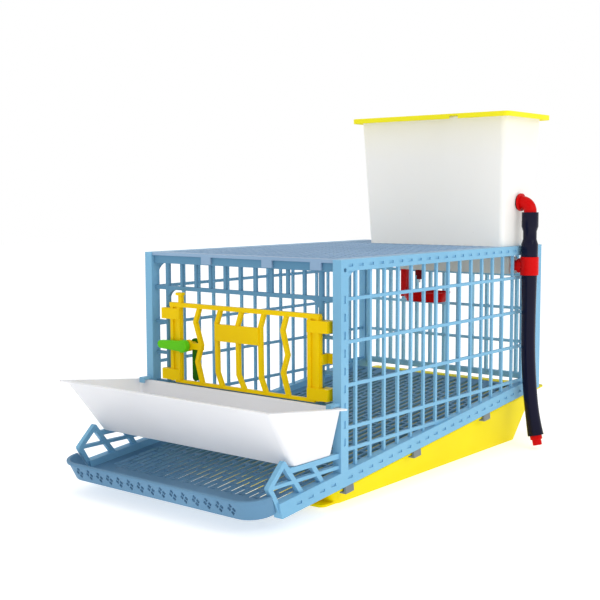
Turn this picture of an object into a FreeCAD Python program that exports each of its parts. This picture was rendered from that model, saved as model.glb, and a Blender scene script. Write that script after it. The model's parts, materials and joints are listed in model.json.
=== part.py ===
import FreeCAD, Part
import math
import os
from FreeCAD import Vector

# Quail cage with an egg ledge: moulded grille panels, a swinging door with a turn latch,
# a hooked-on feeder, a sliding dropping tray, and a water tank that feeds a cup drinker.
# Millimetres.  The front faces -Y and the ground is z = 0.  Shapes are built about the
# middle of the cage's front posts and moved at the end, so that the origin lies under
# the middle of the whole object.

# ---- driving dimensions -------------------------------------------------------------
CAGE_WIDTH = 320.0          # over both side panels
CAGE_LENGTH = 490.0         # front post to back post
SIDE_HEIGHT = 262.0         # height of a side panel at its front post
FLOOR_RISE = 50.0           # how much the bottom rails climb from front to back
GROUND_GAP = 26.0           # front foot of the bottom rails above the ground
SIDE_THICK = 12.0
POST = 14.0
TOP_RAIL = 13.0
BOTTOM_RAIL = 18.0
BAR = 4.0                   # width of the grille bars
BAR_DEPTH = 3.4
SIDE_BAR_PITCH = 29.05
SIDE_BAR_START = 35.1
SIDE_BAR_LAST_GAP = 24.0    # least distance from the last bar to the back post's rear
BAR_DROPS = (45.5, 95.0, 145.0, 195.0, 220.0)   # side bars below the top of the panel
POCKET_PITCH = 20.5
POCKET = (9.0, 3.4, 1.4)    # length, height and depth of the rail pockets
FIT = 0.3                   # clearance between neighbouring mouldings

# front panel
FRONT_Y = 6.0
FRONT_THICK = 5.0
FRONT_BARS = 11             # the two rods and the bars between them
FRONT_TOP = 10.0            # height of the top rail
SILL_SHARE = 0.3435         # underside of the sill, as a share of the side's height
SECOND_SHARE = 0.8168       # underside of the bar over the door
SILL_HIGH = 5.0
SECOND_HIGH = 5.0
LINK_SHARES = (0.331, 0.661)    # short links between the sill and the bar over the door
LINK_BACK = 0.8             # links stand back here, clear of the door's stile as it turns
OPENING_CORNER = 15.0       # radius of the door opening's upper corners
ROD_R = 3.5
ROD_INSET = 22.25           # hinge rod's axis from the side panel's inner face

# top, back and floor
TOP_PANEL_THICK = 4.0
TOP_CLIP_X = (-52.0, 48.0, 122.0)
TOP_CELL = (12.3, 24.0)
BACK_THICK = 6.0
FLOOR_THICK = 3.5
FLOOR_LIFT = 6.0            # floor's underside above the rails' underside
FLOOR_SLOT = (38.0, 7.2)
FLOOR_WEB = 3.6

# egg ledge and the low wings beside it
WING_TOP = 41.0             # wing's top bar above the front foot
WING_TIP = 50.5
WING_REACH = 104.0          # foremost point of the wing's foot
WING_NOSE = 123.6
WING_BEND = 25.0            # the nose's foremost point above the front foot
WING_BAR = 6.0              # width of the wing's members
WING_DEPTH = 6.0
WING_BARS = ((-90.0, -66.0), (-49.0, -29.0))    # upper and lower end of each slanted bar
LEDGE_FRONT = 149.5
LEDGE_FLARE = 9.0
LEDGE_HIGH = 24.0
LEDGE_RADIUS = 30.0
LEDGE_WALL = 3.0
LEDGE_BEAD = 1.5
MOTIFS = 15

# door and latch
DOOR_FOOT = 6.0             # door's foot above the sill's underside
DOOR_UNDER = 15.0           # door's top below the bar over it
DOOR_DEPTH = 6.0
DOOR_STANDOFF = 2.0         # door's back ahead of the front panel
DOOR_STILE = 19.0
DOOR_BAR = 5.0
DOOR_RUNNING = 0.1          # radial clearance on the hinge rod
DOOR_DRAWN_HALF = 125.75    # rod's X for which the positions along the door are given
BLOCK_PROUD = 1.5           # corner blocks ahead of the door's face
BLOCK_HIGH = 14.0
BLOCK_DROP = 7.5            # upper blocks' top below the door's top
PLATE = (72.0, 21.0)
PLATE_X = 2.0
PLATE_DROP = 22.5           # plate's top below the door's top
LATCH_DROP = 54.0           # latch's axis below the door's top
GRIP_REACH = 38.0
LATCH_INSET = 41.75         # latch's axis from the left rod
LATCH_TONGUE_GAP = 1.5      # stored tongue's end above the door's foot
SPINDLE_R = 4.0

# feeder
FEEDER_RIM_OVER = 22.0      # rim's length beyond the cage's width
FEEDER_BASE_UNDER = 8.0     # base's length short of it
FEEDER_DEPTH = (71.0, 137.0)    # base and rim, front to back
FEEDER_RISE = 16.0          # front rim above the back rim
FEEDER_WALL = 2.2
FEEDER_FLANGE = 5.0
FEEDER_CORNERS = (7.0, 6.0, 3.0)    # radii of the base, the wall's top and the flange
FEEDER_BASE_BACK = 11.0     # base's back edge ahead of the posts
HOOK_REACH = 15.5

# dropping tray
TRAY_WALL = 2.0
TRAY_FLANGE = 2.0           # thickness of the tray's rim
TRAY_RIM_DROP = 3.3         # rim's top under the rails
TRAY_FRONT = -8.0
TRAY_BEHIND = 30.0          # rim behind the back posts
TRAY_RIM_UNDER = 10.0       # rim's width short of the cage's
TRAY_BASE_UNDER = 44.0      # base's width short of the cage's
TRAY_BASE_FRONT = 16.0
TRAY_BASE_AHEAD = 28.0      # base's end ahead of the back posts
TRAY_RIM = 8.0
TRAY_CORNERS = (12.0, 10.0, 7.0)    # radii of the base, the wall's top and the rim
TRAY_CLIP_SHARES = (0.035, 0.329, 0.69)     # along the cage
TRAY_CLIP = 16.0

# water tank
TANK_SIZE = (244.0, 108.0)
TANK_BEHIND = 7.0           # tank's rim ahead of the back posts' rear
TANK_DRAFT = (8.0, 12.0)    # how much each wall leans in at the bottom, in X and in Y
TANK_HIGH = 183.5
TANK_WALL = 2.5
TANK_CORNERS = (7.0, 8.0)
LID_OVERHANG = (10.0, 10.5)
LID_HIGH = 7.0
LID_THICK = 3.0
LID_CORNER = 8.0
LID_NOTCH = 45.5            # notch's middle right of the tank's middle

# water line
HOSE_R = 10.0
ELBOW_RISE = 62.0           # elbow's arm above the cage's top
ELBOW_BEND = 13.0
TEE_DROP = 28.0             # tee's arm below the cage's top
TEE_WALL = 3.0              # tee's body round the hose
TEE_R = HOSE_R + TEE_WALL
TEE_HALF = 13.0
PIPE = 24.0
PIPE_WALL = 2.0
PIPE_LENGTH = 176.0
NIPPLE_IN = 18.0            # nipple's axis from the pipe's free end
CUP = (76.0, 50.0, 15.0)
CUP_IN = 30.0
CUP_DROP = 33.0             # cup's rim below the pipe

# ---- values that follow -------------------------------------------------------------
HALF = CAGE_WIDTH / 2
INNER = HALF - SIDE_THICK
CAGE_TOP = GROUND_GAP + SIDE_HEIGHT
SLOPE = FLOOR_RISE / CAGE_LENGTH
SLOPE_DEG = math.degrees(math.atan(SLOPE))
SIDE_BAR_COUNT = int((CAGE_LENGTH - SIDE_BAR_START - SIDE_BAR_LAST_GAP) / SIDE_BAR_PITCH) + 1
BAY_Y = SIDE_BAR_START + SIDE_BAR_PITCH * (SIDE_BAR_COUNT - 1.5)   # bay that the tee's arm uses
HOSE_Y = BAY_Y
ROD_X = INNER - ROD_INSET
ROD_Y = FRONT_Y + FRONT_THICK / 2
FRONT_PITCH = 2 * ROD_X / (FRONT_BARS - 1)
SILL_Z = GROUND_GAP + SILL_SHARE * SIDE_HEIGHT
SECOND_Z = GROUND_GAP + SECOND_SHARE * SIDE_HEIGHT
WING_TOP_Z = GROUND_GAP + WING_TOP

DOOR_BOTTOM = SILL_Z + DOOR_FOOT
DOOR_TOP = SECOND_Z - DOOR_UNDER
DOOR_FRONT = FRONT_Y - DOOR_STANDOFF - DOOR_DEPTH
LATCH_X = -ROD_X + LATCH_INSET
LATCH_Z = DOOR_TOP - LATCH_DROP
LATCH_REACH = LATCH_Z - DOOR_BOTTOM - LATCH_TONGUE_GAP
GRIP_BACK = DOOR_FRONT - BLOCK_PROUD - FIT

FEEDER_RIM = CAGE_WIDTH + FEEDER_RIM_OVER
FEEDER_BASE = CAGE_WIDTH - FEEDER_BASE_UNDER
FEEDER_BACK_Z = SILL_Z + SILL_HIGH

TRAY_BACK = CAGE_LENGTH + TRAY_BEHIND
TRAY_RIM_WIDTH = CAGE_WIDTH - TRAY_RIM_UNDER

TANK_X = HALF - TANK_SIZE[0] / 2
TANK_Z = CAGE_TOP
TANK_TOP = TANK_Z + TANK_HIGH
TANK_BACK = CAGE_LENGTH - TANK_BEHIND
TANK_FRONT = TANK_BACK - TANK_SIZE[1]
LID_NOTCH_X = TANK_X + LID_NOTCH

HOSE_X = HALF + TEE_R
ELBOW_Z = CAGE_TOP + ELBOW_RISE
TEE_Z = CAGE_TOP - TEE_DROP
PIPE_X = (INNER - 1.0 - PIPE_LENGTH, INNER - 1.0)
NIPPLE_X = PIPE_X[0] + NIPPLE_IN
CUP_X = PIPE_X[0] + CUP_IN

# the object's box, without the free hose, sets the origin
BOX_X = (-FEEDER_RIM / 2, HOSE_X + TEE_R)
LEAN = math.radians(SLOPE_DEG)
BOX_Y = (-(LEDGE_FRONT + LEDGE_BEAD) * math.cos(LEAN) - LEDGE_HIGH * math.sin(LEAN),
         TRAY_BACK * math.cos(LEAN) + TRAY_FLANGE * math.sin(LEAN))
ORIGIN = Vector(-(BOX_X[0] + BOX_X[1]) / 2, -(BOX_Y[0] + BOX_Y[1]) / 2, 0)

UP = Vector(0, 0, 1)
ALONG_X = Vector(1, 0, 0)
ALONG_Y = Vector(0, 1, 0)


# ---- helpers ------------------------------------------------------------------------
def rail_z(y):
    """Height of the bottom rails' underside."""
    return GROUND_GAP + SLOPE * y


def box(x0, x1, y0, y1, z0, z1):
    return Part.makeBox(x1 - x0, y1 - y0, z1 - z0, Vector(x0, y0, z0))


def cylinder(radius, start, direction, length):
    return Part.makeCylinder(radius, length, start, direction)


def fuse(shapes):
    whole = shapes[0].multiFuse(shapes[1:]) if len(shapes) > 1 else shapes[0]
    return whole.removeSplitter()


def loop(points):
    return Part.makePolygon(points + [points[0]])


def plate(outline, holes, extrusion):
    """Flat face with holes, thickened."""
    face = Part.makeFace(Part.Compound([outline] + holes), "Part::FaceMakerBullseye")
    return face.extrude(extrusion)


def in_yz(points, x):
    return loop([Vector(x, y, z) for y, z in points])


def in_xz(points, y):
    return loop([Vector(x, y, z) for x, z in points])


def rounded_rect(x0, x1, y0, y1, radius, z):
    """Closed wire in a level plane, with round corners."""
    diagonal = radius * (1 - math.sqrt(0.5))
    corners = ((x1, y0, -1, 1), (x1, y1, -1, -1), (x0, y1, 1, -1), (x0, y0, 1, 1))
    edges = []
    ends = []
    for number, (x, y, to_x, to_y) in enumerate(corners):
        level = Vector(x + to_x * radius, y, z)
        upright = Vector(x, y + to_y * radius, z)
        middle = Vector(x + to_x * diagonal, y + to_y * diagonal, z)
        start, end = (level, upright) if number % 2 == 0 else (upright, level)
        ends.append((start, middle, end))
    for number, (start, middle, end) in enumerate(ends):
        edges.append(Part.Arc(start, middle, end).toShape())
        edges.append(Part.LineSegment(end, ends[(number + 1) % 4][0]).toShape())
    return Part.Wire(edges)


def cut_below(points, line):
    """The part of a polygon in (y, z) above the line z = line(y)."""
    kept = []
    for number, (y1, z1) in enumerate(points):
        y0, z0 = points[number - 1]
        over0 = z0 - line(y0)
        over1 = z1 - line(y1)
        if over0 * over1 < 0:
            share = over0 / (over0 - over1)
            kept.append((y0 + share * (y1 - y0), z0 + share * (z1 - z0)))
        if over1 >= 0:
            kept.append((y1, z1))
    return kept


def area(points):
    return abs(sum(points[i - 1][0] * points[i][1] - points[i][0] * points[i - 1][1]
                   for i in range(len(points)))) / 2


def spans(low, high, middles, width):
    """The gaps that bars of one width leave between two limits."""
    gaps = []
    start = low
    for middle in sorted(middles):
        if middle - width / 2 > start:
            gaps.append((start, middle - width / 2))
        start = max(start, middle + width / 2)
    if high > start:
        gaps.append((start, high))
    return gaps


def strip(start, end, width):
    """Outline in (a, b) of a straight bar between two points."""
    run = math.hypot(end[0] - start[0], end[1] - start[1])
    across = (-(end[1] - start[1]) / run * width / 2, (end[0] - start[0]) / run * width / 2)
    return [(start[0] + across[0], start[1] + across[1]), (end[0] + across[0], end[1] + across[1]),
            (end[0] - across[0], end[1] - across[1]), (start[0] - across[0], start[1] - across[1])]


def bent_bar(points, width, y0, depth):
    """A bar in the door's plane that follows a few points."""
    pieces = []
    for start, end in zip(points, points[1:]):
        pieces.append(plate(in_xz(strip(start, end, width), y0), [], ALONG_Y * depth))
    for x, z in points[1:-1]:
        pieces.append(cylinder(width / 2, Vector(x, y0, z), ALONG_Y, depth))
    return pieces


def tilt(shape, y, z, degrees):
    """Turn a level shape about a line along X, so that its far end rises."""
    shape.rotate(Vector(0, y, z), ALONG_X, degrees)
    return shape


def tub(base, base_z, rim, rim_z, pivot_y, degrees, radii, wall, flange, flange_thick):
    """Open tub between a level base and a rim that may be tilted.

    base and rim are (x0, x1, y0, y1) of the outside; the rim is laid out level at rim_z
    and then turned about pivot_y.  radii are those of the base, the wall's top and the flange.
    """
    def rim_wire(grow, lift, radius=None):
        x0, x1, y0, y1 = rim
        corner = radii[1] + grow if radius is None else radius
        wire = rounded_rect(x0 - grow, x1 + grow, y0 - grow, y1 + grow, corner, rim_z + lift)
        return tilt(wire, pivot_y, rim_z, degrees)

    def base_wire(grow, lift):
        x0, x1, y0, y1 = base
        return rounded_rect(x0 - grow, x1 + grow, y0 - grow, y1 + grow, radii[0] + grow, base_z + lift)

    outside = Part.makeLoft([base_wire(0, 0), rim_wire(0, 0)], True, True)
    hollow = Part.makeLoft([base_wire(-wall, wall), rim_wire(-wall, 0.5)], True, True)
    shell = outside.cut(hollow)
    if flange > 0:
        edge = Part.Face(rim_wire(flange, -flange_thick, radii[2]))
        normal = edge.normalAt(0, 0)
        normal = normal if normal.z > 0 else normal * -1
        ring = edge.extrude(normal * flange_thick).cut(outside.fuse(hollow))
        shell = fuse([shell, ring])
    return shell, outside


def save(name, shape):
    shape = shape.copy()
    shape.translate(ORIGIN)
    shape.exportStep("parts/" + name + ".step")
    low = shape.BoundBox
    print("%-18s solids %2d valid %s  x %7.1f %7.1f  y %7.1f %7.1f  z %7.1f %7.1f" % (
        name, len(shape.Solids), shape.isValid(), low.XMin, low.XMax, low.YMin, low.YMax,
        low.ZMin, low.ZMax))


# ---- side panels --------------------------------------------------------------------
def side_outline():
    """Posts, top rail and bottom rail, which runs on in front of the post as the wing's foot."""
    foot = -WING_REACH - 0.3 * BOTTOM_RAIL
    return [(-WING_REACH, rail_z(-WING_REACH)), (CAGE_LENGTH, rail_z(CAGE_LENGTH)),
            (CAGE_LENGTH, CAGE_TOP), (0, CAGE_TOP), (0, rail_z(0) + BOTTOM_RAIL),
            (foot, rail_z(foot) + BOTTOM_RAIL)]


def wing_bars():
    """Members of the wing in (y, z), each a start, an end and a width."""
    bend = (-WING_NOSE + WING_BAR / 2, GROUND_GAP + WING_BEND)
    tip = (-WING_NOSE + 0.925 * (WING_TIP - WING_BEND) + WING_BAR / 2, GROUND_GAP + WING_TIP - WING_BAR / 2)
    level = WING_TOP_Z - WING_BAR / 2
    foot = (-WING_REACH + WING_BAR / 2, rail_z(-WING_REACH) + WING_BAR / 2)
    bars = [(foot, bend, WING_BAR), (bend, tip, WING_BAR), (tip, (WING_BARS[0][0], level), WING_BAR),
            ((WING_BARS[0][0], level), (2.0, level), WING_BAR), (bend, (2.0, bend[1]), BAR)]
    for high, low in WING_BARS:
        bars.append(((high, level), (low, rail_z(low) + BOTTOM_RAIL - 3), WING_BAR))
    return bars


def main_hole(grow):
    """Opening between posts and rails, or an outline that reaches into them."""
    y0, y1 = POST - grow, CAGE_LENGTH - POST + grow
    low, high = BOTTOM_RAIL - grow, CAGE_TOP - TOP_RAIL + grow
    return [(y0, rail_z(y0) + low), (y1, rail_z(y1) + low), (y1, high), (y0, high)]


def side_cells():
    """Grille cells between the bars of the main opening."""
    columns = [SIDE_BAR_START + SIDE_BAR_PITCH * i for i in range(SIDE_BAR_COUNT)]
    rows = [CAGE_TOP - drop for drop in BAR_DROPS]
    cells = []
    for y0, y1 in spans(POST, CAGE_LENGTH - POST, columns, BAR):
        for z0, z1 in spans(GROUND_GAP, CAGE_TOP - TOP_RAIL, rows, BAR):
            cell = cut_below([(y0, z0), (y1, z0), (y1, z1), (y0, z1)], lambda y: rail_z(y) + BOTTOM_RAIL)
            if len(cell) > 2 and area(cell) > 20:
                cells.append(cell)
    return cells


def pocket_outlines():
    """Small pockets along the top rail, the front post and the bottom rail."""
    long, high, _ = POCKET
    middles = []
    count = int((CAGE_LENGTH - 2 * POST) / POCKET_PITCH)
    for i in range(count + 1):
        y = POST + 4 + POCKET_PITCH * i
        middles.append((y, CAGE_TOP - TOP_RAIL / 2, long, high))
        middles.append((y, rail_z(y) + BOTTOM_RAIL / 2, long, high))
    for i in range(4):
        y = -14 - POCKET_PITCH * i
        middles.append((y, rail_z(y) + BOTTOM_RAIL / 2, long, high))
    for i in range(9):
        middles.append((POST / 2, WING_TOP_Z + 12 + POCKET_PITCH * i, high, long))
    return [[(y - a / 2, z - b / 2), (y + a / 2, z - b / 2), (y + a / 2, z + b / 2), (y - a / 2, z + b / 2)]
            for y, z, a, b in middles]


def gusset(x0):
    """Curved web in the top front corner, with a round hole."""
    reach = 24.0
    y0, z1 = POST, CAGE_TOP - TOP_RAIL
    corner = Vector(x0, y0, z1)
    along = Vector(x0, y0 + reach, z1)
    down = Vector(x0, y0, z1 - reach)
    inset = reach * (1 - math.sqrt(0.5))
    middle = Vector(x0, y0 + inset, z1 - inset)
    wire = Part.Wire([Part.LineSegment(corner, along).toShape(), Part.Arc(along, middle, down).toShape(),
                      Part.LineSegment(down, corner).toShape()])
    return Part.Face(wire).extrude(ALONG_X * BAR_DEPTH)


def side_panel(side):
    """side is +1 for the right panel, -1 for the left one.  Built for the right, then mirrored."""
    deep = POCKET[2]
    opening = main_hole(0)
    inner_layer = plate(in_yz(side_outline(), INNER), [in_yz(opening, INNER)], ALONG_X * (SIDE_THICK - deep))
    face_x = HALF - deep
    outer_layer = plate(in_yz(side_outline(), face_x),
                        [in_yz(p, face_x) for p in [opening] + pocket_outlines()], ALONG_X * deep)
    grille_x = INNER + (SIDE_THICK - BAR_DEPTH) / 2
    grille = plate(in_yz(main_hole(3), grille_x), [in_yz(c, grille_x) for c in side_cells()],
                   ALONG_X * BAR_DEPTH)
    wing_x = INNER + (SIDE_THICK - WING_DEPTH) / 2
    wing = []
    for start, end, width in wing_bars():
        wing.append(plate(in_yz(strip(start, end, width), wing_x), [], ALONG_X * WING_DEPTH))
        for y, z in (start, end):
            if y < 0:
                wing.append(cylinder(width / 2, Vector(wing_x, y, z), ALONG_X, WING_DEPTH))
    hook = [box(HALF - 10, HALF - 2, -HOOK_REACH, 1, FEEDER_BACK_Z + 0.6, FEEDER_BACK_Z + 4),
            box(HALF - 10, HALF - 2, -HOOK_REACH, -HOOK_REACH + 2.6, FEEDER_BACK_Z - 3, FEEDER_BACK_Z + 2)]
    panel = fuse([inner_layer, outer_layer, grille, gusset(grille_x)] + wing + hook)
    eye = cylinder(2.6, Vector(INNER - 1, POST * 0.55, CAGE_TOP - TOP_RAIL * 0.9), ALONG_X, SIDE_THICK + 2)
    panel = panel.cut(eye)
    if side < 0:
        panel = panel.mirror(Vector(0, 0, 0), ALONG_X)
    return panel


# ---- front, back and top ------------------------------------------------------------
def front_panel():
    y0, y1 = FRONT_Y, FRONT_Y + FRONT_THICK
    top_z = CAGE_TOP - TOP_PANEL_THICK
    pieces = [box(-INNER, INNER, y0 - 1.5, y1, top_z - FRONT_TOP, top_z),
              box(-INNER, INNER, y0, y1, SECOND_Z, SECOND_Z + SECOND_HIGH),
              box(-INNER, INNER, y0, y1, SILL_Z, SILL_Z + SILL_HIGH)]
    for i in range(1, FRONT_BARS - 1):
        x = -ROD_X + FRONT_PITCH * i
        pieces.append(box(x - BAR / 2, x + BAR / 2, ROD_Y - BAR_DEPTH / 2, ROD_Y + BAR_DEPTH / 2,
                          SECOND_Z + 1, top_z - FRONT_TOP + 1))
    for side in (-1, 1):
        rod = cylinder(ROD_R, Vector(side * ROD_X, ROD_Y, SILL_Z + 1), UP, top_z - FRONT_TOP - SILL_Z)
        pieces.append(door_corner(side))
        pieces.append(rod)
        ends = sorted((side * ROD_X, side * INNER))
        for share in LINK_SHARES:
            z = SILL_Z + share * (SECOND_Z - SILL_Z)
            pieces.append(box(ends[0], ends[1], y0 + LINK_BACK, y1, z - BAR / 2, z + BAR / 2))
    return fuse(pieces)


def door_corner(side):
    """Rounded upper corner of the door opening."""
    reach = OPENING_CORNER
    edge = ROD_X - 1
    inset = reach * (1 - math.sqrt(0.5))
    corner = Vector(side * edge, FRONT_Y, SECOND_Z + 0.5)
    level = Vector(side * (edge - reach), FRONT_Y, SECOND_Z + 0.5)
    down = Vector(side * edge, FRONT_Y, SECOND_Z - reach)
    middle = Vector(side * (edge - inset), FRONT_Y, SECOND_Z - inset)
    wire = Part.Wire([Part.LineSegment(corner, level).toShape(), Part.Arc(level, middle, down).toShape(),
                      Part.LineSegment(down, corner).toShape()])
    return Part.Face(wire).extrude(ALONG_Y * FRONT_THICK)


def back_panel():
    y = CAGE_LENGTH - POST + 2
    low = rail_z(CAGE_LENGTH) + FLOOR_LIFT + FLOOR_THICK + 2
    high = CAGE_TOP - TOP_PANEL_THICK
    outline = [(-INNER, low), (INNER, low), (INNER, high), (-INNER, high)]
    columns = [FRONT_PITCH * (i - (FRONT_BARS - 1) / 2) for i in range(FRONT_BARS)]
    rows = [CAGE_TOP - drop for drop in BAR_DROPS]
    cells = []
    for x0, x1 in spans(-INNER + 6, INNER - 6, columns, BAR):
        for z0, z1 in spans(low + 9, high - 8, rows, BAR):
            if z1 - z0 > 3:
                cells.append(in_xz([(x0, z0), (x1, z0), (x1, z1), (x0, z1)], y))
    return plate(in_xz(outline, y), cells, ALONG_Y * BACK_THICK)


def top_panel():
    """Slotted sheet between the side panels, with three clips over the front rail."""
    z = CAGE_TOP - TOP_PANEL_THICK
    half = INNER - FIT
    y0, y1 = 1.0, CAGE_LENGTH - 1.0
    border = 8.0
    cell_x, cell_y = TOP_CELL
    web = 3.0
    across = int((2 * half - 2 * border) / cell_x)
    along = int((y1 - y0 - 2 * border) / cell_y)
    first_x = -across * cell_x / 2
    first_y = (y0 + y1) / 2 - along * cell_y / 2
    holes = []
    for i in range(across):
        for k in range(along):
            a = first_x + i * cell_x + web / 2
            b = first_y + k * cell_y + web / 2
            corners = ((a, b), (a + cell_x - web, b), (a + cell_x - web, b + cell_y - web), (a, b + cell_y - web))
            holes.append(loop([Vector(p, q, z) for p, q in corners]))
    outline = loop([Vector(p, q, z) for p, q in ((-half, y0), (half, y0), (half, y1), (-half, y1))])
    sheet = plate(outline, holes, UP * TOP_PANEL_THICK)
    clips = []
    for x in TOP_CLIP_X:
        clips.append(box(x - 8, x + 8, 1.0, FRONT_Y - 1.5 - FIT, z - FRONT_TOP * 0.9, z + 1))
    return fuse([sheet] + clips)


# ---- floor with the egg ledge -------------------------------------------------------
def floor_panel():
    half = INNER - FIT
    front = -LEDGE_FRONT + LEDGE_FLARE
    back = CAGE_LENGTH - 2 * POST
    base = GROUND_GAP + FLOOR_LIFT
    pitch_x = FLOOR_SLOT[1] + FLOOR_WEB
    pitch_y = FLOOR_SLOT[0] + FLOOR_WEB
    columns = int((2 * half - 16) / pitch_x)
    holes = []
    for i in range(columns):
        x = (i - (columns - 1) / 2) * pitch_x
        y = front + 14.0 + (i % 2) * pitch_y / 2
        while y + FLOOR_SLOT[0] < back - 6:
            a, b = x - FLOOR_SLOT[1] / 2, x + FLOOR_SLOT[1] / 2
            clear_corner = abs(x) < half - 22 or y > front + 36
            if clear_corner:
                holes.append(loop([Vector(a, y, base), Vector(b, y, base), Vector(b, y + FLOOR_SLOT[0], base),
                                   Vector(a, y + FLOOR_SLOT[0], base)]))
            y += pitch_y
    corner = LEDGE_RADIUS - 4
    inset = corner * (1 - math.sqrt(0.5))
    left_front = [Vector(-half, front + corner, base), Vector(-half + inset, front + inset, base),
                  Vector(-half + corner, front, base)]
    right_front = [Vector(half - corner, front, base), Vector(half - inset, front + inset, base),
                   Vector(half, front + corner, base)]
    outline = Part.Wire([
        Part.LineSegment(Vector(half, front + corner, base), Vector(half, back, base)).toShape(),
        Part.LineSegment(Vector(half, back, base), Vector(-half, back, base)).toShape(),
        Part.LineSegment(Vector(-half, back, base), left_front[0]).toShape(),
        Part.Arc(*left_front).toShape(),
        Part.LineSegment(left_front[2], right_front[0]).toShape(),
        Part.Arc(*right_front).toShape()])
    sheet = plate(outline, holes, UP * FLOOR_THICK)
    lip = ledge_lip(base)
    panel = fuse([sheet, lip])
    return tilt(panel, 0, base, SLOPE_DEG)


def ledge_lip(base):
    """Upturned front of the floor: flared wall, round corners, a rolled rim and pierced diamonds."""
    wide = HALF - 1
    narrow = wide - LEDGE_FLARE * 0.6
    front = -LEDGE_FRONT
    reach = -40.0

    def ring(half_x, y, z, radius):
        return rounded_rect(-half_x, half_x, y, reach, radius, z)

    foot = front + LEDGE_FLARE
    outer = Part.makeLoft([ring(narrow, foot, base, LEDGE_RADIUS - 4),
                           ring(wide, front, base + LEDGE_HIGH, LEDGE_RADIUS)], True, True)
    inner = Part.makeLoft([ring(narrow - LEDGE_WALL, foot + LEDGE_WALL, base + FLOOR_THICK, LEDGE_RADIUS - 7),
                           ring(wide - LEDGE_WALL, front + LEDGE_WALL, base + LEDGE_HIGH + 0.1,
                                LEDGE_RADIUS - LEDGE_WALL)], True, True)
    bead = Part.Face(ring(wide + 0.5, front - LEDGE_BEAD, base + LEDGE_HIGH - 3, LEDGE_RADIUS + 1)).extrude(UP * 3)
    lip = fuse([outer, bead]).cut(inner)
    lip = lip.cut(box(-HALF, HALF, foot + 20 + LEDGE_RADIUS, 0, base - 5, base + LEDGE_HIGH + 5))
    pitch = (2 * (narrow - LEDGE_RADIUS)) / (MOTIFS - 1)
    cuts = []
    for i in range(MOTIFS):
        x = -narrow + LEDGE_RADIUS + i * pitch
        for dx, dz in ((-3.4, 0), (3.4, 0), (0, 4.6), (0, -4.6)):
            z = base + LEDGE_HIGH * 0.5 + dz
            diamond = [(x + dx - 2.6, z), (x + dx, z - 3.2), (x + dx + 2.6, z), (x + dx, z + 3.2)]
            cuts.append(plate(in_xz(diamond, front - 3), [], ALONG_Y * 16))
    lip = lip.cut(Part.Compound(cuts))
    # room for the wings of the side panels, which pass behind the lip's corners
    for side in (-1, 1):
        x0, x1 = sorted((side * (INNER - FIT), side * (HALF + 5)))
        lip = lip.cut(tilt(wing_room(x0, x1), 0, base, -SLOPE_DEG))
    solids = sorted(lip.Solids, key=lambda s: s.Volume)
    return solids[-1]


def wing_room(x0, x1):
    reach = 1.2
    points = [(-WING_REACH - reach, 0), (-WING_REACH - reach, rail_z(-WING_REACH)),
              (-WING_NOSE - reach, GROUND_GAP + 25), (-WING_NOSE - reach, GROUND_GAP + 60),
              (60, GROUND_GAP + 60), (60, 0)]
    return plate(in_yz(points, x0), [], ALONG_X * (x1 - x0))


# ---- door ---------------------------------------------------------------------------
def along_door(x):
    """Position along the door, which is drawn for one spacing of the rods."""
    return x * ROD_X / DOOR_DRAWN_HALF


def door_bars(y0):
    """Outer bars in an S and three kinked bars between them."""
    low, top = DOOR_BOTTOM, DOOR_TOP
    heights = (top - 3, top - 23, low + 0.5 * (top - low), low + 0.29 * (top - low), low + 2)
    pieces = []
    for xs in ((-62, -70, -60, -67, -58.5), (80, 73.5, 81, 74, 82.5)):
        points = [(along_door(x), z) for x, z in zip(xs, heights)]
        pieces += bent_bar(points, DOOR_BAR, y0, DOOR_BAR)
    for top_x, mid_x, end_x in ((-26, -33, -24), (9, 2, 13), (45, 38.5, 47.5)):
        path = [(top_x, top - 3), (mid_x, top - 22), (mid_x + 1, low + 20), (end_x, low + 2)]
        pieces += bent_bar([(along_door(x), z) for x, z in path], DOOR_BAR, y0, DOOR_BAR)
    return pieces


def door_blocks(front):
    """Corner blocks.  The right ones wrap the hinge rod."""
    pieces = []
    for z in (DOOR_BOTTOM + 3, DOOR_TOP - BLOCK_DROP - BLOCK_HIGH):
        pieces.append(box(-ROD_X - 1.2, -ROD_X + 30, front, FRONT_Y - 1 - FIT, z, z + BLOCK_HIGH))
        pieces.append(box(ROD_X - 13, ROD_X + 17, front, ROD_Y + 5, z, z + BLOCK_HIGH))
    return pieces


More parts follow.
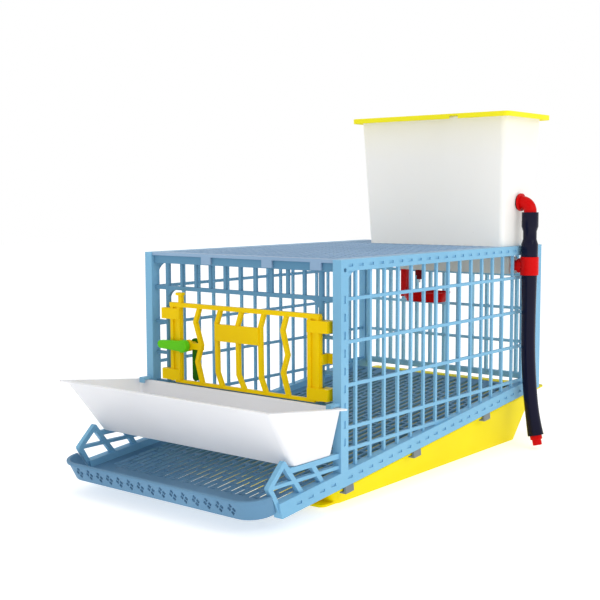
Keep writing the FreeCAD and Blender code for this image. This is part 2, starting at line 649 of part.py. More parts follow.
def door():
    """Barred door that turns on the right jamb rod."""
    y0 = DOOR_FRONT
    y1 = y0 + DOOR_DEPTH
    right = ROD_X + 4.5
    left = -ROD_X + 12
    top = DOOR_TOP
    low = DOOR_BOTTOM
    pieces = [box(left, right - 1, y0, y1, top - 5.5, top), box(left + 8, right - 8, y0 + 1, y1 - 1, low, low + 4)]
    for x0 in (left, right - DOOR_STILE):
        pieces.append(box(x0, x0 + DOOR_STILE, y0 + 2, y1, low + 2, top - 2))
        for rib in (1.0, DOOR_STILE - 6.0):
            pieces.append(box(x0 + rib, x0 + rib + 5, y0, y1, low + 2, top - 2))
    pieces += door_bars(y0 + 0.5)
    pieces += door_blocks(y0 - BLOCK_PROUD)
    plate_z = top - PLATE_DROP - PLATE[1]
    pieces.append(box(PLATE_X - PLATE[0] / 2, PLATE_X + PLATE[0] / 2, y0 - 1, y1 - 2, plate_z, plate_z + PLATE[1]))
    hook_x = left + 15.3
    pieces += [box(hook_x, hook_x + 5.5, y0 + 0.5, y1 - 0.5, top - 1, top + 13),
               box(hook_x - 2.5, hook_x + 7.5, y0 - BLOCK_PROUD, y1 - 0.5, top + 9.5, top + 13)]
    clip_z = LATCH_Z - 4.5
    pieces.append(box(ROD_X + 1, ROD_X + 6.2, y0 + 3, ROD_Y + 6, clip_z, clip_z + 12))
    pieces.append(box(ROD_X - 1, ROD_X + 15, ROD_Y + 4.2, ROD_Y + 7.2, clip_z, clip_z + 12))
    pieces.append(box(left + DOOR_STILE - 1, LATCH_X + 26, y0 + 1, y1 - 0.5, LATCH_Z - 4, LATCH_Z + 4))
    pieces.append(cylinder(7.5, Vector(LATCH_X, y0, LATCH_Z), ALONG_Y, DOOR_DEPTH))
    whole = fuse(pieces)
    bore = cylinder(ROD_R + DOOR_RUNNING, Vector(ROD_X, ROD_Y, 0), UP, CAGE_TOP)
    hole = cylinder(SPINDLE_R + DOOR_RUNNING, Vector(LATCH_X, y0 - 5, LATCH_Z), ALONG_Y, 20)
    return whole.cut(bore).cut(hole)


# ---- latch --------------------------------------------------------------------------
def latch_grip():
    thick = 8.0
    front = GRIP_BACK - thick
    tip = LATCH_X - GRIP_REACH
    tail = [(LATCH_X - 4, LATCH_Z - 6.5), (tip, LATCH_Z - 5.2), (tip, LATCH_Z + 5.2), (LATCH_X - 4, LATCH_Z + 6.5)]
    lever = plate(in_xz(tail, front), [], ALONG_Y * thick)
    hub = cylinder(8.0, Vector(LATCH_X, front, LATCH_Z), ALONG_Y, thick)
    end = cylinder(5.2, Vector(tip, front, LATCH_Z), ALONG_Y, thick)
    socket = cylinder(SPINDLE_R, Vector(LATCH_X, GRIP_BACK - 5, LATCH_Z), ALONG_Y, 10)
    return fuse([lever, hub, end]).cut(socket)


def latch_spindle():
    start = GRIP_BACK - 5
    return cylinder(SPINDLE_R, Vector(LATCH_X, start, LATCH_Z), ALONG_Y, ROD_Y + ROD_R + 4 - start)


def latch_tongue():
    y0 = ROD_Y + ROD_R + 1
    low = LATCH_Z - LATCH_REACH
    blade = box(LATCH_X - 5, LATCH_X + 5, y0, y0 + 3, low + 5, LATCH_Z)
    tip = cylinder(5, Vector(LATCH_X, y0, low + 5), ALONG_Y, 3)
    hub = cylinder(8, Vector(LATCH_X, y0, LATCH_Z), ALONG_Y, 3)
    hole = cylinder(SPINDLE_R, Vector(LATCH_X, y0 - 1, LATCH_Z), ALONG_Y, 5)
    return fuse([blade, tip, hub]).cut(hole)


# ---- feeder and dropping tray -------------------------------------------------------
def feeder():
    base_deep, deep = FEEDER_DEPTH
    half = FEEDER_RIM / 2 - FEEDER_FLANGE
    angle = math.degrees(math.atan(FEEDER_RISE / deep))
    back = -1.0
    rim = (-half, half, back - deep + FEEDER_FLANGE, back - FEEDER_FLANGE)
    base = (-FEEDER_BASE / 2, FEEDER_BASE / 2, -FEEDER_BASE_BACK - base_deep, -FEEDER_BASE_BACK)
    shell, _ = tub(base, WING_TOP_Z + FIT, rim, FEEDER_BACK_Z, rim[3], -angle, FEEDER_CORNERS,
                   FEEDER_WALL, FEEDER_FLANGE, 2.0)
    return shell


def dropping_tray():
    half = TRAY_RIM_WIDTH / 2 - TRAY_RIM
    half_base = (CAGE_WIDTH - TRAY_BASE_UNDER) / 2
    rim = (-half, half, TRAY_FRONT + TRAY_RIM, TRAY_BACK - TRAY_RIM)
    base = (-half_base, half_base, TRAY_BASE_FRONT, CAGE_LENGTH - TRAY_BASE_AHEAD)
    shell, _ = tub(base, 0, rim, rail_z(0) - TRAY_RIM_DROP, 0, SLOPE_DEG, TRAY_CORNERS, TRAY_WALL, TRAY_RIM,
                   TRAY_FLANGE)
    tabs = []
    for side in (-1, 1):
        x0, x1 = sorted((side * (half_base - 42), side * (half_base - 2)))
        tab = rounded_rect(x0, x1, TRAY_FRONT + 4, TRAY_BASE_FRONT + 14, 8, 0)
        tabs.append(Part.Face(tab).extrude(UP * 3))
    return fuse([shell] + tabs)


def tray_clips():
    """Channels under the bottom rails in which the tray's rim slides."""
    clips = []
    for share in TRAY_CLIP_SHARES:
        y = share * CAGE_LENGTH
        for side in (-1, 1):
            channel = [(INNER + 1, 0), (HALF - 0.5, 0), (HALF - 0.5, -9.5), (INNER + 2, -9.5), (INNER + 2, -7),
                       (TRAY_RIM_WIDTH / 2 + 1.2, -7), (TRAY_RIM_WIDTH / 2 + 1.2, -2.4), (INNER + 1, -2.4)]
            points = [(side * x, z) for x, z in channel]
            clip = plate(in_xz([(x, GROUND_GAP + z) for x, z in points], y - TRAY_CLIP / 2), [],
                         ALONG_Y * TRAY_CLIP)
            clips.append(tilt(clip, 0, GROUND_GAP, SLOPE_DEG))
    return Part.Compound(clips)


# ---- water tank ---------------------------------------------------------------------
def tank_solids():
    wide, deep = TANK_SIZE
    lean_x, lean_y = TANK_DRAFT
    rim = (TANK_X - wide / 2, TANK_X + wide / 2, TANK_FRONT, TANK_BACK)
    base = (rim[0] + lean_x, rim[1] - lean_x, rim[2] + lean_y, rim[3] - lean_y)
    return tub(base, TANK_Z, rim, TANK_TOP, 0, 0, TANK_CORNERS + (LID_CORNER,), TANK_WALL, 3.0, 2.0)


def wall_x():
    """Outer face of the tank's right wall at the elbow's height."""
    share = (ELBOW_Z - TANK_Z) / TANK_HIGH
    return TANK_X + TANK_SIZE[0] / 2 - TANK_DRAFT[0] * (1 - share)


def water_tank():
    shell, _ = tank_solids()
    hole = cylinder(7.2, Vector(wall_x() - 10, HOSE_Y, ELBOW_Z), ALONG_X, 20)
    return shell.cut(hole)


def tank_lid():
    wide, deep = TANK_SIZE
    over_x, over_y = LID_OVERHANG
    x0, x1 = TANK_X - wide / 2 - over_x, TANK_X + wide / 2 + over_x
    y0, y1 = TANK_FRONT - over_y, TANK_BACK + over_y
    z = TANK_TOP + FIT
    low = z + LID_THICK - LID_HIGH

    def block(inset, radius, bottom, high):
        wire = rounded_rect(x0 + inset[0], x1 - inset[0], y0 + inset[1], y1 - inset[1], radius, bottom)
        return Part.Face(wire).extrude(UP * high)

    cap = block((0, 0), LID_CORNER, z, LID_THICK)
    skirt = block((0, 0), LID_CORNER, low, z - low).cut(block((2, 2), LID_CORNER - 2, low - 1, z - low + 1))
    plug_at = (over_x + 4, over_y + 4)
    plug_in = (over_x + 6, over_y + 6)
    plug = block(plug_at, 6, z - 5, 5).cut(block(plug_in, 4, z - 6, 6))
    notch = box(LID_NOTCH_X - 7, LID_NOTCH_X + 7, y0 - 1, y0 + 3.5, z - LID_HIGH, z + 0.5)
    return fuse([cap, skirt, plug]).cut(notch)


# ---- water line ---------------------------------------------------------------------
def ring(start, direction, length, outer, inner):
    tube = cylinder(outer, start, direction, length)
    return tube.cut(cylinder(inner, start - direction, direction, length + 2))


def tank_elbow():
    """Threaded elbow: stub through the wall, flange, right-angle body and barb."""
    x0 = wall_x()
    axis = Vector(x0 + 2.2, HOSE_Y, ELBOW_Z)
    stub = cylinder(7.0, Vector(x0 - 12, HOSE_Y, ELBOW_Z), ALONG_X, 16)
    flange = cylinder(12.5, axis, ALONG_X, 3)
    bend_x = HOSE_X - ELBOW_BEND
    arm = cylinder(9.0, axis, ALONG_X, bend_x - axis.x)
    disc = Part.Face(Part.Wire([Part.makeCircle(9.0, Vector(bend_x, HOSE_Y, ELBOW_Z), ALONG_X)]))
    knee = disc.revolve(Vector(bend_x, HOSE_Y, ELBOW_Z - ELBOW_BEND), ALONG_Y, 90)
    leg = cylinder(9.0, Vector(HOSE_X, HOSE_Y, ELBOW_Z - 14), UP, 14 - ELBOW_BEND)
    barb = cylinder(6.0, Vector(HOSE_X, HOSE_Y, ELBOW_Z - 34), UP, 22)
    body = fuse([stub, flange, arm, knee, leg, barb])
    bore_in = cylinder(4.0, Vector(x0 - 13, HOSE_Y, ELBOW_Z), ALONG_X, HOSE_X - x0 + 13)
    bore_down = cylinder(4.0, Vector(HOSE_X, HOSE_Y, ELBOW_Z - 35), UP, 35)
    return body.cut(fuse([bore_in, bore_down]))


def elbow_seal():
    x0 = wall_x()
    seal = ring(Vector(x0 - 2, HOSE_Y, ELBOW_Z), ALONG_X, 4.2, 11.0, 7.1)
    face_low = TANK_X + TANK_SIZE[0] / 2 - TANK_DRAFT[0]
    face_high = TANK_X + TANK_SIZE[0] / 2
    inside = [(face_low - 40, TANK_Z), (face_low, TANK_Z), (face_high, TANK_TOP), (face_low - 40, TANK_TOP)]
    return seal.cut(plate(in_xz(inside, HOSE_Y - 20), [], ALONG_Y * 40))


def elbow_nut():
    x0 = wall_x() - TANK_WALL - 0.6
    points = [Vector(x0 - 5, HOSE_Y + 11 * math.cos(math.radians(60 * i)),
                     ELBOW_Z + 11 * math.sin(math.radians(60 * i))) for i in range(6)]
    body = Part.Face(loop(points)).extrude(ALONG_X * 5)
    return body.cut(cylinder(7.05, Vector(x0 - 6, HOSE_Y, ELBOW_Z), ALONG_X, 8))


def upper_hose():
    """Short hose pushed over the elbow's and the tee's barbs, swollen where it covers them."""
    top = ELBOW_Z - 14
    low = TEE_Z + TEE_HALF
    swell, slim = HOSE_R + 1.8, HOSE_R - 0.4
    profile = [(6.0, low), (swell, low), (swell, low + 18), (slim, low + 25), (slim, top - 27),
               (swell, top - 20), (swell, top), (6.0, top)]
    wire = loop([Vector(HOSE_X + r, HOSE_Y, z) for r, z in profile])
    return Part.Face(wire).revolve(Vector(HOSE_X, HOSE_Y, 0), UP, 360)


def water_tee():
    """Tee on the hose line whose arm passes between two bars into the pipe."""
    middle = Vector(HOSE_X, HOSE_Y, TEE_Z - TEE_HALF)
    body = cylinder(TEE_R, middle, UP, 2 * TEE_HALF)
    arm = cylinder(10.5, Vector(HALF - 4, HOSE_Y, TEE_Z), ALONG_X, HOSE_X - HALF + 4)
    spigot = cylinder(7.5, Vector(PIPE_X[1] - 14, HOSE_Y, TEE_Z), ALONG_X, HALF - PIPE_X[1] + 20)
    barb = cylinder(6.0, Vector(HOSE_X, HOSE_Y, TEE_Z + TEE_HALF - 1), UP, 17)
    whole = fuse([body, arm, spigot, barb])
    bore = cylinder(4.0, Vector(HOSE_X, HOSE_Y, TEE_Z - 8), UP, 40)
    side = cylinder(4.0, Vector(PIPE_X[1] - 15, HOSE_Y, TEE_Z), ALONG_X, HOSE_X - PIPE_X[1] + 15)
    return whole.cut(fuse([bore, side]))


def hose_route():
    """The free hose hangs from the tee and curls a little away from the cage."""
    top = TEE_Z - TEE_HALF
    return [Vector(HOSE_X, HOSE_Y, top), Vector(HOSE_X, HOSE_Y, top - 52), Vector(HOSE_X + 1, HOSE_Y - 2, top - 106),
            Vector(HOSE_X + 6, HOSE_Y - 5, top - 160), Vector(HOSE_X + 13.5, HOSE_Y - 8, top - 205),
            Vector(HOSE_X + 19, HOSE_Y - 9, top - 227)]


def tube_path(points):
    """Straight runs joined by tangent arcs, as large as the runs allow."""
    edges = []
    at = points[0]
    for before, corner, after in zip(points, points[1:], points[2:]):
        back = before - corner
        ahead = after - corner
        turn = math.pi - back.getAngle(ahead)
        shorter = min(back.Length, ahead.Length)
        trim = 0.45 * shorter
        radius = trim / math.tan(turn / 2)
        print("hose arc radius %.0f" % radius)
        back.normalize()
        ahead.normalize()
        start = corner + back * trim
        end = corner + ahead * trim
        middle_way = back + ahead
        middle_way.normalize()
        depth = radius / math.cos(turn / 2) - radius
        edges.append(Part.LineSegment(at, start).toShape())
        edges.append(Part.Arc(start, corner + middle_way * depth, end).toShape())
        at = end
    edges.append(Part.LineSegment(at, points[-1]).toShape())
    return Part.Wire(edges)


def lower_hose():
    path = tube_path(hose_route())
    start = path.Edges[0].valueAt(path.Edges[0].FirstParameter)
    section = Part.Wire([Part.makeCircle(HOSE_R, start, Vector(0, 0, -1))])
    tube = path.makePipeShell([section], True, False)
    print("hose length %.1f volume ratio %.4f" % (path.Length, tube.Volume / (path.Length * math.pi * HOSE_R ** 2)))
    return tube


def hose_plug():
    """Stopper in the hose's lower end."""
    route = hose_route()
    way = route[-1] - route[-2]
    way.normalize()
    flange = cylinder(8.5, route[-1], way, 6)
    stem = cylinder(6.5, route[-1], way, 14)
    return fuse([flange, stem])


def drinker_pipe():
    x0, x1 = PIPE_X
    half = PIPE / 2
    outer = box(x0, x1, HOSE_Y - half, HOSE_Y + half, TEE_Z - half, TEE_Z + half)
    inner = half - PIPE_WALL
    hollow = box(x0 - 1, x1 + 1, HOSE_Y - inner, HOSE_Y + inner, TEE_Z - inner, TEE_Z + inner)
    port = cylinder(5.05, Vector(NIPPLE_X, HOSE_Y, TEE_Z - PIPE), UP, PIPE)
    return outer.cut(hollow).cut(port)


def pipe_end_cap():
    x0 = PIPE_X[0]
    half = PIPE / 2
    inner = half - PIPE_WALL
    return fuse([box(x0 - 11, x0, HOSE_Y - half, HOSE_Y + half, TEE_Z - half, TEE_Z + half),
                 box(x0, x0 + 10, HOSE_Y - inner, HOSE_Y + inner, TEE_Z - inner, TEE_Z + inner)])


def pipe_socket():
    """Bush in the pipe's end that takes the tee's spigot."""
    x1 = PIPE_X[1]
    inner = PIPE / 2 - PIPE_WALL
    body = box(x1 - 18, x1, HOSE_Y - inner, HOSE_Y + inner, TEE_Z - inner, TEE_Z + inner)
    return body.cut(cylinder(7.5, Vector(x1 - 20, HOSE_Y, TEE_Z), ALONG_X, 30))


def drinker_nipple():
    under = TEE_Z - PIPE / 2
    thread = cylinder(5.0, Vector(NIPPLE_X, HOSE_Y, under), UP, PIPE_WALL + 3)
    collar = cylinder(6.5, Vector(NIPPLE_X, HOSE_Y, under - 9), UP, 9)
    nose = cylinder(4.5, Vector(NIPPLE_X, HOSE_Y, under - 15), UP, 7)
    bore = cylinder(2.1, Vector(NIPPLE_X, HOSE_Y, under - 20), UP, 22)
    seat = cylinder(3.6, Vector(NIPPLE_X, HOSE_Y, under - 4), UP, 12)
    return fuse([thread, collar, nose]).cut(fuse([bore, seat]))


def nipple_pin():
    under = TEE_Z - PIPE / 2
    stem = cylinder(1.6, Vector(NIPPLE_X, HOSE_Y, under - 20), UP, 17)
    head = cylinder(3.2, Vector(NIPPLE_X, HOSE_Y, under - 4), UP, 2)
    return fuse([stem, head])


def drinker_cup():
    """Oval cup under the nipple, hung on an arm from the pipe's end cap."""
    long, deep, high = CUP
    top = TEE_Z - PIPE / 2 - CUP_DROP
    x0, x1 = CUP_X - long / 2, CUP_X + long / 2
    y0, y1 = HOSE_Y - deep / 2, HOSE_Y + deep / 2
    outer = Part.makeLoft([rounded_rect(x0 + 8, x1 - 8, y0 + 8, y1 - 8, 14, top - high),
                           rounded_rect(x0, x1, y0, y1, 22, top)], True, True)
    hollow = Part.makeLoft([rounded_rect(x0 + 10, x1 - 10, y0 + 10, y1 - 10, 12, top - high + 2),
                            rounded_rect(x0 + 2, x1 - 2, y0 + 2, y1 - 2, 20, top + 0.1)], True, True)
    arm = box(PIPE_X[0] - 11, PIPE_X[0] - 1.5, HOSE_Y - 8, HOSE_Y + 8, top - 9, TEE_Z - PIPE / 2)
    return fuse([outer, arm]).cut(hollow)


# ---- write every node ---------------------------------------------------------------
NODES = {
    "left_side_panel": lambda: side_panel(-1),
    "right_side_panel": lambda: side_panel(1),
    "front_panel": front_panel,
    "back_panel": back_panel,
    "top_panel": top_panel,
    "floor_panel": floor_panel,
    "door": door,
    "latch_grip": latch_grip,
    "latch_spindle": latch_spindle,
    "latch_tongue": latch_tongue,
    "feeder": feeder,
    "dropping_tray": dropping_tray,
    "tray_clips": tray_clips,
    "water_tank": water_tank,
    "tank_lid": tank_lid,
    "tank_elbow": tank_elbow,
    "elbow_seal": elbow_seal,
    "elbow_nut": elbow_nut,
    "upper_hose": upper_hose,
    "water_tee": water_tee,
    "lower_hose": lower_hose,
    "hose_plug": hose_plug,
    "drinker_pipe": drinker_pipe,
    "pipe_end_cap": pipe_end_cap,
    "pipe_socket": pipe_socket,
    "drinker_nipple": drinker_nipple,
    "nipple_pin": nipple_pin,
    "drinker_cup": drinker_cup,
}


def main():
    os.makedirs("parts", exist_ok=True)
    for name, make in NODES.items():
        save(name, make())


main()
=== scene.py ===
import json
import math

import bpy
from mathutils import Matrix, Vector


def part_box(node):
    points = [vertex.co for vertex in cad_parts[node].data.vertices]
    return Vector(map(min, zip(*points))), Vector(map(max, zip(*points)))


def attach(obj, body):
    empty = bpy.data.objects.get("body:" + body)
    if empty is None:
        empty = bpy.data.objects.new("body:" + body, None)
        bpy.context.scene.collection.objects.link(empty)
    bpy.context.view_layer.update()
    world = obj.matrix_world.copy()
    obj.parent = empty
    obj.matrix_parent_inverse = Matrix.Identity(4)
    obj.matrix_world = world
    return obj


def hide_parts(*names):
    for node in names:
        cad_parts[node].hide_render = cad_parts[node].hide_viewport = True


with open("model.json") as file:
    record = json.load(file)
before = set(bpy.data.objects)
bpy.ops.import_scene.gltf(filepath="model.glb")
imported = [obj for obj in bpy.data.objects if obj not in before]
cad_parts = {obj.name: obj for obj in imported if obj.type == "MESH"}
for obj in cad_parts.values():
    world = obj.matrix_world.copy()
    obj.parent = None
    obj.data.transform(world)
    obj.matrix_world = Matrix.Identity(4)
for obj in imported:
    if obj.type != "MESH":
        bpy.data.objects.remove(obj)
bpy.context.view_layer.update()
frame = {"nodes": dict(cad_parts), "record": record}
nodes = frame["nodes"]

MM = 0.001


# ---- where the cage stands in the row frame, from its nodes ---------------------------
RAIL_BEHIND_POSTS = 4.5 * MM    # front of the front panel's top rail behind the posts' front
HOSE_RADIUS = 10 * MM
TEE_RADIUS = 13 * MM

tee_low, tee_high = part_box("water_tee")
POST_PLANE_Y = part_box("front_panel")[0][1] - RAIL_BEHIND_POSTS
RIGHT_FACE_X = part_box("right_side_panel")[1][0]
HOSE_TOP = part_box("lower_hose")[1][2]
HOSE_X = tee_high[0] - TEE_RADIUS
HOSE_Y = (tee_low[1] + tee_high[1]) / 2
TANK_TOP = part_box("water_tank")[1][2]


# ---- materials ------------------------------------------------------------------------
SHEEN = 0.07                    # specular level of the moulded plastics
HOSE_SHEEN = 0.16
DRIFT_SCALE = 6.0               # slow change of colour over a moulding
DRIFT_STOPS = (0.3, 0.7)
GLOSS_SPREAD = (-0.06, 0.08)    # about each material's roughness
GRAIN_DEPTH = 0.4 * MM
SCATTER_COLOUR = (1.0, 0.9, 0.8)
SCATTER_DEPTH = 4 * MM
TANK_CLEAR = 0.12
# strength of the painted glow: emission in the tank's walls that stands in for light shining through them
TANK_PAINTED_GLOW = 0.11
TANK_PAINTED_TINT = 60 * MM           # height at the top over which the painted glow turns to the lid's yellow, painted light through the lid
STEEL_COLOUR = (0.62, 0.62, 0.64, 1)
STEEL_ROUGHNESS = (0.2, 0.4)
STEEL_GRAIN = 900.0


def new_material(name):
    """A node material with its tree and its shader."""
    material = bpy.data.materials.new(name)
    material.use_nodes = True
    tree = material.node_tree
    shader = tree.nodes["Principled BSDF"]
    return material, tree, shader


def add(tree, kind, **values):
    """Adds a node and sets its inputs or its properties."""
    node = tree.nodes.new(kind)
    for key, value in values.items():
        if key in node.inputs:
            node.inputs[key].default_value = value
        else:
            setattr(node, key, value)
    return node


def plastic(name, dark, light, roughness=0.38, grain=260.0, bump=0.05, scatter=0.0, sheen=SHEEN):
    """Moulded plastic: slow colour drift, a fine mould grain in the gloss and the bump."""
    material, tree, shader = new_material(name)
    link = tree.links.new
    place = add(tree, "ShaderNodeTexCoord")
    drift = add(tree, "ShaderNodeTexNoise", Scale=DRIFT_SCALE, Detail=3.0)
    link(place.outputs["Object"], drift.inputs["Vector"])
    ramp = add(tree, "ShaderNodeValToRGB")
    for stop, position, colour in zip(ramp.color_ramp.elements, DRIFT_STOPS, (dark, light)):
        stop.position = position
        stop.color = (*colour, 1)
    link(drift.outputs["Fac"], ramp.inputs["Fac"])
    link(ramp.outputs["Color"], shader.inputs["Base Color"])
    fine = add(tree, "ShaderNodeTexNoise", Scale=grain, Detail=4.0)
    link(place.outputs["Object"], fine.inputs["Vector"])
    gloss = add(tree, "ShaderNodeMapRange")
    gloss.inputs["To Min"].default_value = roughness + GLOSS_SPREAD[0]
    gloss.inputs["To Max"].default_value = roughness + GLOSS_SPREAD[1]
    link(fine.outputs["Fac"], gloss.inputs["Value"])
    link(gloss.outputs["Result"], shader.inputs["Roughness"])
    relief = add(tree, "ShaderNodeBump", Strength=bump, Distance=GRAIN_DEPTH)
    link(fine.outputs["Fac"], relief.inputs["Height"])
    link(relief.outputs["Normal"], shader.inputs["Normal"])
    shader.inputs["Specular IOR Level"].default_value = sheen
    if scatter:
        shader.inputs["Subsurface Weight"].default_value = scatter
        shader.inputs["Subsurface Radius"].default_value = SCATTER_COLOUR
        shader.inputs["Subsurface Scale"].default_value = SCATTER_DEPTH
    return material


def tub_plastic():
    """Milky plastic of the tank with a painted glow: a faint emission in its walls for light shining
    through them, painted yellow under the lid at the top.
    """
    material = plastic("tank_plastic", (0.84, 0.83, 0.80), (0.90, 0.89, 0.86), 0.30, 180.0, 0.03, 0.25)
    tree = material.node_tree
    shader = tree.nodes["Principled BSDF"]
    shader.inputs["Transmission Weight"].default_value = TANK_CLEAR
    place = add(tree, "ShaderNodeTexCoord")
    parts = add(tree, "ShaderNodeSeparateXYZ")
    tree.links.new(place.outputs["Object"], parts.inputs["Vector"])
    height = add(tree, "ShaderNodeMapRange")
    height.inputs["From Min"].default_value = TANK_TOP - TANK_PAINTED_TINT
    height.inputs["From Max"].default_value = TANK_TOP
    tree.links.new(parts.outputs["Z"], height.inputs["Value"])
    # painted glow: the emission is white low down and yellow under the lid, painted light shining through
    painted_glow = add(tree, "ShaderNodeValToRGB")
    painted_glow.color_ramp.elements[0].color = (1.0, 0.98, 0.94, 1)
    painted_glow.color_ramp.elements[1].color = (1.0, 0.88, 0.30, 1)
    tree.links.new(height.outputs["Result"], painted_glow.inputs["Fac"])
    tree.links.new(painted_glow.outputs["Color"], shader.inputs["Emission Color"])
    shader.inputs["Emission Strength"].default_value = TANK_PAINTED_GLOW
    return material


def steel():
    """Brushed steel of the nipple's pin."""
    material, tree, shader = new_material("pin_steel")
    shader.inputs["Metallic"].default_value = 1.0
    place = add(tree, "ShaderNodeTexCoord")
    grain = add(tree, "ShaderNodeTexNoise", Scale=STEEL_GRAIN)
    tree.links.new(place.outputs["Object"], grain.inputs["Vector"])
    gloss = add(tree, "ShaderNodeMapRange")
    gloss.inputs["To Min"].default_value = STEEL_ROUGHNESS[0]
    gloss.inputs["To Max"].default_value = STEEL_ROUGHNESS[1]
    tree.links.new(grain.outputs["Fac"], gloss.inputs["Value"])
    tree.links.new(gloss.outputs["Result"], shader.inputs["Roughness"])
    shader.inputs["Base Color"].default_value = STEEL_COLOUR
    return material


MATERIALS = {
    "panel_blue": plastic("side_blue", (0.20, 0.45, 0.66), (0.25, 0.52, 0.73), 0.36, scatter=0.12),
    # front_blue is the panels' blue darkened: painted shade, because the front panel lies in shade and is
    # the same blue plastic
    "front_blue": plastic("front_blue", (0.105, 0.26, 0.41), (0.135, 0.31, 0.47), 0.36),
    "back_blue": plastic("back_blue", (0.28, 0.56, 0.74), (0.34, 0.64, 0.80), 0.36, scatter=0.12),
    "top_blue": plastic("top_blue", (0.25, 0.38, 0.55), (0.31, 0.46, 0.64), 0.40),
    "floor_blue": plastic("floor_blue", (0.12, 0.255, 0.40), (0.155, 0.31, 0.47), 0.36),
    "door_yellow": plastic("door_yellow", (0.85, 0.56, 0.0), (0.95, 0.67, 0.001), 0.30, scatter=0.08),
    "latch_green": plastic("latch_green", (0.10, 0.56, 0.008), (0.15, 0.66, 0.015), 0.30),
    # latch_dark_green is latch_green darkened: painted shade for the part of the latch that lies in shade
    # behind the grip
    "latch_dark_green": plastic("latch_dark_green", (0.02, 0.16, 0.008), (0.03, 0.20, 0.012), 0.40),
    "feeder_white": plastic("feeder_white", (0.80, 0.80, 0.82), (0.87, 0.87, 0.89), 0.34, scatter=0.2),
    "tray_yellow": plastic("tray_yellow", (0.84, 0.68, 0.0), (0.91, 0.77, 0.001), 0.32, scatter=0.08),
    "clip_grey": plastic("clip_grey", (0.17, 0.20, 0.21), (0.25, 0.28, 0.29), 0.45),
    "tank_white": tub_plastic(),
    "lid_yellow": plastic("lid_yellow", (0.90, 0.80, 0.02), (0.96, 0.88, 0.03), 0.32, scatter=0.1),
    "fitting_red": plastic("fitting_red", (0.58, 0.002, 0.002), (0.69, 0.006, 0.006), 0.28),
    "seal_black": plastic("seal_black", (0.01, 0.01, 0.01), (0.02, 0.02, 0.02), 0.7),
    "hose_navy": plastic("hose_navy", (0.003, 0.003, 0.016), (0.006, 0.006, 0.026), 0.14, bump=0.01,
                         sheen=HOSE_SHEEN),
    "pipe_beige": plastic("pipe_beige", (0.70, 0.66, 0.58), (0.78, 0.74, 0.66), 0.40),
    "nipple_red": plastic("nipple_red", (0.16, 0.001, 0.002), (0.22, 0.003, 0.004), 0.35),
    "pin_steel": steel(),
    "cup_red": plastic("cup_red", (0.58, 0.002, 0.002), (0.69, 0.006, 0.006), 0.28),
}


# ---- moulded edges on the CAD nodes ----------------------------------------------------
SOFT_EDGE = {"latch_grip": 0.9, "feeder": 0.6, "dropping_tray": 0.6, "water_tank": 0.5, "tank_lid": 1.0,
             "tank_elbow": 0.6, "water_tee": 0.8, "drinker_cup": 0.6, "nipple_pin": 0.2, "elbow_seal": 0.2,
             "drinker_nipple": 0.3, "tray_clips": 0.4, "hose_plug": 0.5, "latch_spindle": 0.3}
EDGE = 0.7                      # width of the other nodes' rounding, in mm
EDGE_ANGLE = math.radians(40)
FLAT_ANGLE = math.radians(1)
WELD_GAP = 0.01 * MM
FACE_WEIGHT = 100


def smooth_faces():
    """Geometry nodes that shade every face smooth, so that the nodes' own meshes stay as they are."""
    group = bpy.data.node_groups.new("smooth_faces", "GeometryNodeTree")
    group.interface.new_socket("Geometry", in_out="INPUT", socket_type="NodeSocketGeometry")
    group.interface.new_socket("Geometry", in_out="OUTPUT", socket_type="NodeSocketGeometry")
    start = group.nodes.new("NodeGroupInput")
    smooth = group.nodes.new("GeometryNodeSetShadeSmooth")
    end = group.nodes.new("NodeGroupOutput")
    group.links.new(start.outputs["Geometry"], smooth.inputs["Geometry"])
    group.links.new(smooth.outputs["Geometry"], end.inputs["Geometry"])
    return group


def mould(node, width, smoothing):
    """Joins the imported faces, drops the seams of flat faces without holes and rounds the edges."""
    weld = node.modifiers.new("weld", "WELD")
    weld.merge_threshold = WELD_GAP
    if not node.name.endswith("_panel"):
        flat = node.modifiers.new("flat", "DECIMATE")
        flat.decimate_type = "DISSOLVE"
        flat.angle_limit = FLAT_ANGLE
    bevel = node.modifiers.new("bevel", "BEVEL")
    bevel.width = width * MM
    bevel.segments = 2
    bevel.limit_method = "ANGLE"
    bevel.angle_limit = EDGE_ANGLE
    smooth = node.modifiers.new("smooth", "NODES")
    smooth.node_group = smoothing
    normals = node.modifiers.new("normals", "WEIGHTED_NORMAL")
    normals.weight = FACE_WEIGHT


smoothing = smooth_faces()
for entry in frame["record"]["subparts"]:
    name = entry["node"]
    nodes[name].material_slots[0].material = MATERIALS[entry["material_slot"]]
    mould(nodes[name], SOFT_EDGE.get(name, EDGE), smoothing)


# ---- the free hose ----------------------------------------------------------------------
HOSE_SWELL = (1.12, 1.0, 1.0, 1.0, 1.0, 1.15)    # the hose is wider over the tee and the plug
HOSE_ROUTE = ((0, 0, 0), (0, 0, -52), (1, -2, -106), (6, -5, -160), (13.5, -8, -205), (19, -9, -227))


def hose_curve():
    """Round hose along one smooth line, wider at both ends."""
    curve = bpy.data.curves.new("lower_hose_line", "CURVE")
    curve.dimensions = "3D"
    spline = curve.splines.new("NURBS")
    spline.points.add(len(HOSE_ROUTE) - 1)
    for point, (x, y, z), swell in zip(spline.points, HOSE_ROUTE, HOSE_SWELL):
        point.co = (HOSE_X + x * MM, HOSE_Y + y * MM, HOSE_TOP + z * MM, 1)
        point.radius = swell
    spline.order_u = 3
    spline.use_endpoint_u = True
    spline.resolution_u = 16
    curve.bevel_depth = HOSE_RADIUS
    curve.bevel_resolution = 8
    curve.use_fill_caps = True
    piece = bpy.data.objects.new("lower_hose_tube", curve)
    bpy.context.collection.objects.link(piece)
    return piece


hose = hose_curve()
hose.data.materials.append(MATERIALS["hose_navy"])
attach(hose, "cage")
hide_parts("lower_hose")


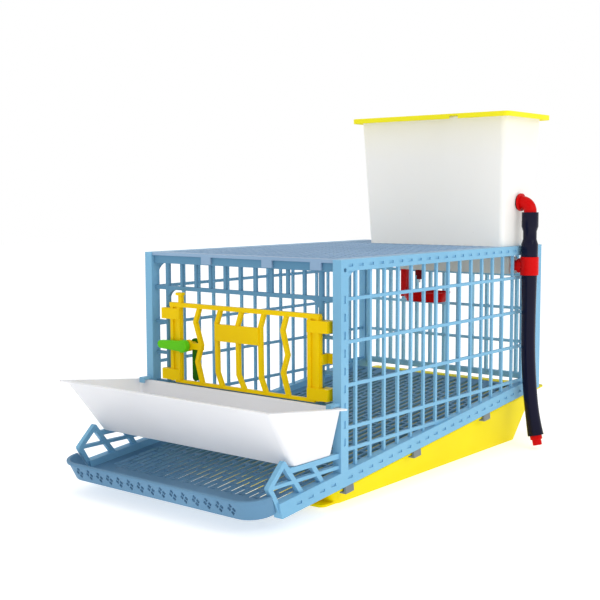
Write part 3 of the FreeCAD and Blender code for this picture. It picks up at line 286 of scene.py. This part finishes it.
# ---- floor, light and camera -------------------------------------------------------------
FLOOR_REACH = 6.0
FLOOR_COLOUR = (0.80, 0.80, 0.80, 1)
FLOOR_GLOW = 0.55               # keeps the floor white under soft light
WHITE = (1.0, 1.0, 1.0, 1)


def stage():
    """Plain pale floor."""
    corners = [(x * FLOOR_REACH, y * FLOOR_REACH, 0) for x, y in ((-1, -1), (1, -1), (1, 1), (-1, 1))]
    floor = bpy.data.meshes.new("floor")
    floor.from_pydata(corners, [], [(0, 1, 2, 3)])
    piece = bpy.data.objects.new("floor", floor)
    bpy.context.collection.objects.link(piece)
    material, tree, shader = new_material("pale_floor")
    shader.inputs["Base Color"].default_value = FLOOR_COLOUR
    shader.inputs["Roughness"].default_value = 0.9
    shader.inputs["Emission Color"].default_value = WHITE
    shader.inputs["Emission Strength"].default_value = FLOOR_GLOW
    floor.materials.append(material)


def area_light(name, at, aim, size, power):
    """Square lamp, side in metres and power in watts, turned towards a point."""
    data = bpy.data.lights.new(name, "AREA")
    data.size = size
    data.energy = power
    lamp = bpy.data.objects.new(name, data)
    lamp.location = at
    lamp.rotation_euler = (Vector(aim) - Vector(at)).to_track_quat("-Z", "Y").to_euler()
    bpy.context.collection.objects.link(lamp)


BACKDROP_EDGE = (0.22, 0.45)    # sine of the height where the white backdrop fades into the dome
DOME = 0.65
KEY_AT = (2.4, -0.3, 1.6)
KEY_AIM = (0, 0, 0.2)
TOP_AT = (-0.2, -0.4, 2.6)
TOP_AIM = (0, 0, 0.1)


def light():
    """White backdrop up to a low height, a dimmer dome over it and two soft lamps."""
    world = bpy.data.worlds.new("studio")
    world.use_nodes = True
    tree = world.node_tree
    place = add(tree, "ShaderNodeTexCoord")
    parts = add(tree, "ShaderNodeSeparateXYZ")
    fade = add(tree, "ShaderNodeMapRange")
    for name, value in zip(("From Min", "From Max", "To Min", "To Max"), (*BACKDROP_EDGE, 1.0, DOME)):
        fade.inputs[name].default_value = value
    tree.links.new(place.outputs["Generated"], parts.inputs["Vector"])
    tree.links.new(parts.outputs["Z"], fade.inputs["Value"])
    background = tree.nodes["Background"]
    background.inputs["Color"].default_value = WHITE
    tree.links.new(fade.outputs["Result"], background.inputs["Strength"])
    bpy.context.scene.world = world
    bpy.context.scene.view_settings.view_transform = "Standard"
    area_light("key", KEY_AT, KEY_AIM, 1.2, 14)
    area_light("top", TOP_AT, TOP_AIM, 2.0, 12)


CAMERA_FROM_CORNER = Vector((0.7297, -0.9727, 0.3593))    # from the foot of the right front corner
CAMERA_LENS = 65.15
CAMERA_YAW = 39.06
CAMERA_PITCH = -5.45
CAMERA_ROLL = -0.19


def camera():
    """Camera at the height and angle of the reference view."""
    data = bpy.data.cameras.new("camera")
    data.sensor_width = 36.0
    data.lens = CAMERA_LENS
    data.clip_end = 20
    eye = bpy.data.objects.new("camera", data)
    corner = Vector((RIGHT_FACE_X, POST_PLANE_Y, 0))
    turn = Matrix.Rotation(math.radians(CAMERA_YAW), 4, "Z")
    nod = Matrix.Rotation(math.radians(90 + CAMERA_PITCH), 4, "X")
    roll = Matrix.Rotation(math.radians(CAMERA_ROLL), 4, "Z")
    eye.matrix_world = Matrix.Translation(corner + CAMERA_FROM_CORNER) @ turn @ nod @ roll
    bpy.context.collection.objects.link(eye)
    bpy.context.scene.camera = eye


stage()
light()
camera()
